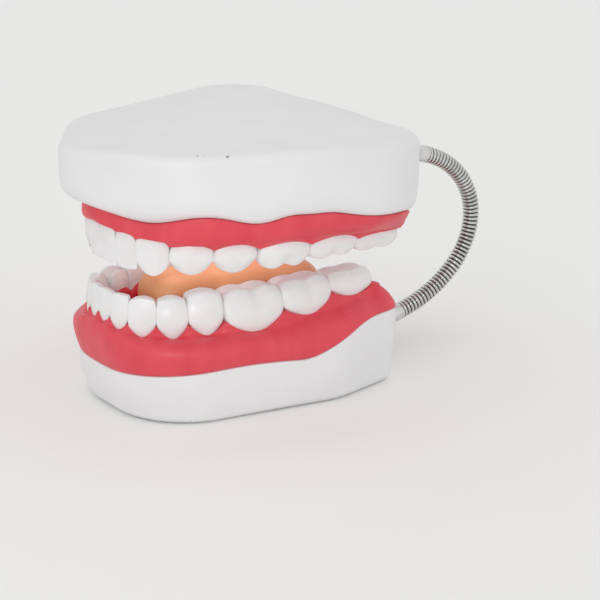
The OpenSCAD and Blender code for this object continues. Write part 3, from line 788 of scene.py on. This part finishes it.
# tongue: rings from the tip to the root
tongueShape = {"front": -56.3, "rear": 40.3, "halfWidth": 17.4, "foot": 32.3, "lift": 5, "liftShare": 0.35,
               "high": 29.6, "groove": 0.8, "grooveWide": 3.2, "rings": 72, "sides": 88, "ends": (0.02, 0.98),
               "tip": 0.09, "tipRound": 2.8, "root": 0.14, "rootRound": 2.2,
               "widthSpan": (0.2, 0.78), "widthCurve": 0.5, "highSpan": (0.4, 0.82), "highCurve": 0.4,
               "sideRound": 0.8, "topRound": 0.8, "footRound": 0.6, "footNarrow": 0.3}


def makeTongue():
    form = tongueShape

    def place(r, i):
        f = (1 - math.cos(math.pi * mix(*form["ends"], r / (form["rings"] - 1)))) / 2
        tip = 1 - min(1, f / form["tip"])
        root = 1 - min(1, (1 - f) / form["root"])
        full = (1 - tip ** form["tipRound"]) ** (1 / form["tipRound"])
        full *= (1 - root ** form["rootRound"]) ** (1 / form["rootRound"])
        half = form["halfWidth"] * math.sin(math.pi * mix(*form["widthSpan"], f)) ** form["widthCurve"] * full
        top = form["high"] * math.sin(math.pi * mix(*form["highSpan"], f)) ** form["highCurve"]
        share = form["liftShare"]
        foot = form["lift"] * (ease(1 - f / share) + ease((f - (1 - share)) / share))
        middle = mix(foot, top, 0.5)
        turn = 2 * math.pi * i / form["sides"]
        across, upward = math.cos(turn), math.sin(turn)
        x = half * math.copysign(abs(across) ** form["sideRound"], across)
        if upward >= 0:
            z = mix(middle, top, upward ** form["topRound"])
        else:
            x *= 1 - form["footNarrow"] * abs(upward)
            z = mix(middle, foot, abs(upward) ** form["footRound"])
        z = mix(middle, z, full)
        if upward > 0:
            z -= form["groove"] * bell(x, 0, form["grooveWide"]) * full
        return Vector((x, mix(form["front"], form["rear"], f), form["foot"] + z)) * mm

    bm = loft(form["sides"], form["rings"], place)
    finishPiece(bm, "tongueBody", tonguePaint, "tongue", "lower_jaw")


makeTongue()
print("tongue built")

# gooseneck: each rib is a list of shares of the pitch and of the groove's depth; the depth also sets the
# painted shade in the groove
neckShape = {"radius": 4.35, "groove": 0.7, "pitch": 2.2, "plain": 4.45, "plainLow": 29, "plainHigh": 46,
             "low": 12.5, "top": 100, "middle": 61, "reach": 144.2, "lowBend": 72, "highBend": 96,
             "sleeve": 11, "sides": 24, "lowSteps": 12, "highSteps": 16,
             "shoulder": 0.4, "turnIn": 0.15, "turnDrop": 0.25,
             "turnStep": 0.6, "grooveShadeCurve": 1.3, "blendY": 0.1, "blendIn": 3,
             "rib": [(0.0, 1.0), (0.1, 0.9), (0.2, 0.45), (0.3, 0.1),
                     (0.5, 0.0), (0.7, 0.1), (0.8, 0.45), (0.9, 0.9)]}


def neckPath():  # y and z from the lower sleeve round to the upper one
    n = neckShape
    start = jaws["lower"]["rearY"] + n["sleeve"] + 2 * model["seat"]
    end = jaws["upper"]["rearY"] + n["sleeve"] + 2 * model["seat"]
    points = [(start, n["low"])]
    for degree in range(91):
        a = math.radians(degree)
        points.append((mix(n["lowBend"], n["reach"], math.sin(a)), mix(n["middle"], n["low"], math.cos(a))))
    for degree in range(1, 91):
        a = math.radians(degree)
        points.append((mix(n["highBend"], n["reach"], math.cos(a)), mix(n["middle"], n["top"], math.sin(a))))
    points.append((end, n["top"]))
    return lengthTable(points)


def makeNeck():
    form = neckShape
    along, ys, zs = neckPath()
    length = along[-1]
    first, final = form["plainLow"], length - form["plainHigh"]
    ribs = round((final - first) / form["pitch"])
    pitch = (final - first) / ribs
    crest, plain, groove = form["radius"], form["plain"], form["groove"]
    turned = plain - form["turnDrop"]
    lowSteps, highSteps = form["lowSteps"], form["highSteps"]
    rows = [(n * (first - form["shoulder"]) / lowSteps, plain, 0) for n in range(lowSteps + 1)]
    rows += [(first - form["turnIn"], turned, 0)]
    for i in range(ribs):
        rows += [(first + (i + share) * pitch, crest - groove * deep, deep) for share, deep in form["rib"]]
    rows += [(final, crest - groove, 1), (final + form["turnIn"], turned, 0)]
    rows += [(mix(final + form["shoulder"], length, n / highSteps), plain, 0) for n in range(highSteps + 1)]

    def place(r, i):
        s, radius, deep = rows[r]
        y, z = lookup(s, along, ys), lookup(s, along, zs)
        before, after = s - form["turnStep"], s + form["turnStep"]
        dy = lookup(after, along, ys) - lookup(before, along, ys)
        dz = lookup(after, along, zs) - lookup(before, along, zs)
        size = math.hypot(dy, dz)
        turn = 2 * math.pi * i / form["sides"]
        up = radius * math.sin(turn)
        return Vector((radius * math.cos(turn), y - up * dz / size, z + up * dy / size)) * mm

    # the tone is the groove's depth, which sets the painted shade in the grooves
    bm = loft(form["sides"], len(rows), place, lambda r, i: rows[r][2] ** form["grooveShadeCurve"])
    piece = finishPiece(bm, "gooseneckTube", plating, "gooseneck")
    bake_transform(piece)


# end fittings: radius, and how far behind the base's rear wall
fittingShape = {"steps": 48, "bevel": 0.12, "sharp": 0.5,
                "profile": [(0, -10.7), (2.5, -10.7), (3.0, -10.2), (3.0, 0.2), (6.1, 0.2), (6.5, 0.6),
                            (6.5, 1.8), (6.1, 2.2), (4.7, 2.2), (4.5, 2.4), (4.5, 3.6), (4.2, 3.9),
                            (4.2, 4.4), (4.5, 4.7), (4.5, 10.5), (4.1, 11.0), (0, 11.1)]}


def makeFitting(name):
    jaw = jaws[name]
    high = neckShape["low"] if name == "lower" else neckShape["top"]
    bm = bmesh.new()
    verts = [bm.verts.new(Vector((r, jaw["rearY"] + y, high)) * mm) for r, y in fittingShape["profile"]]
    edges = [bm.edges.new(pair) for pair in zip(verts, verts[1:])]
    bmesh.ops.spin(bm, geom=verts + edges, cent=Vector((0, 0, high)) * mm, axis=(0, 1, 0), dvec=(0, 0, 0),
                   angle=2 * math.pi, steps=fittingShape["steps"], use_merge=True)
    sharp = [e for e in bm.edges if e.is_manifold and e.calc_face_angle(0) > fittingShape["sharp"]]
    bmesh.ops.bevel(bm, geom=sharp, offset=fittingShape["bevel"] * mm, affect="EDGES", segments=2,
                    profile=0.5, material=-1)
    finishPiece(bm, name + "Fitting", plating, name + "_fitting", name + "_jaw")


makeNeck()
for name in jaws:
    makeFitting(name)
for node in ("lower_washer", "upper_washer", "lower_nut", "upper_nut"):  # these keep their solid's shape
    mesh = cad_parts[node].data
    mesh.materials.clear()
    mesh.materials.append(zinc)
print("gooseneck and fittings built")

# floor and light, in metres and watts; a lamp without an aim shines straight down
studio = {
    "floor": {"light": (0.955, 0.953, 0.945), "shade": (0.940675, 0.938705, 0.930825), "rough": 0.75,
              "scale": 3, "detail": 0, "from": 0.3, "to": 0.7, "size": 14, "cells": 8},
    "world": 0.84,
    "lamps": {
        "key": {"kind": "AREA", "place": (0.62, -0.95, 0.42), "aim": (0, 0, 0.06),
                "settings": {"energy": 0.8, "size": 0.9}},
        "flash": {"kind": "SPOT", "place": (0.70, -0.52, 0.30), "aim": (0, -0.01, 0.062),
                  "settings": {"energy": 5, "spot_size": math.radians(15), "spot_blend": 1,
                               "shadow_soft_size": 0.05}},
        "mouthLight": {"kind": "AREA", "place": (0, -0.015, 0.088),  # a small panel under the palate
                       "settings": {"energy": 0.0135, "shape": "RECTANGLE", "size": 0.03, "size_y": 0.08}}},
}


def makeFloor():
    look = studio["floor"]
    bm = bmesh.new()
    bmesh.ops.create_grid(bm, x_segments=look["cells"], y_segments=look["cells"], size=look["size"])
    mesh = bpy.data.meshes.new("floor")
    bm.to_mesh(mesh)
    bm.free()
    floor = bpy.data.objects.new("floor", mesh)
    bpy.context.scene.collection.objects.link(floor)
    mat, tree, shader, coords = newFinish("paperSweep", look["rough"])
    colour = rampOn(tree, noiseOn(tree, coords, look["scale"], look["detail"]), look)
    tree.links.new(colour, shader.inputs["Base Color"])
    mesh.materials.append(mat)


def makeLight():
    world = bpy.data.worlds.new("studio")
    bpy.context.scene.world = world
    world.use_nodes = True
    sky = world.node_tree.nodes["Background"]
    sky.inputs["Color"].default_value = (1, 1, 1, 1)
    sky.inputs["Strength"].default_value = studio["world"]
    for name, lamp in studio["lamps"].items():
        data = bpy.data.lights.new(name, lamp["kind"])
        for key, value in lamp["settings"].items():
            setattr(data, key, value)
        light = bpy.data.objects.new(name, data)
        bpy.context.scene.collection.objects.link(light)
        light.location = lamp["place"]
        if "aim" in lamp:
            back = Vector(lamp["place"]) - Vector(lamp["aim"])
            light.rotation_euler = back.to_track_quat("Z", "Y").to_euler()
    bpy.context.scene.view_settings.view_transform = "Standard"


makeFloor()
makeLight()
print("studio set")
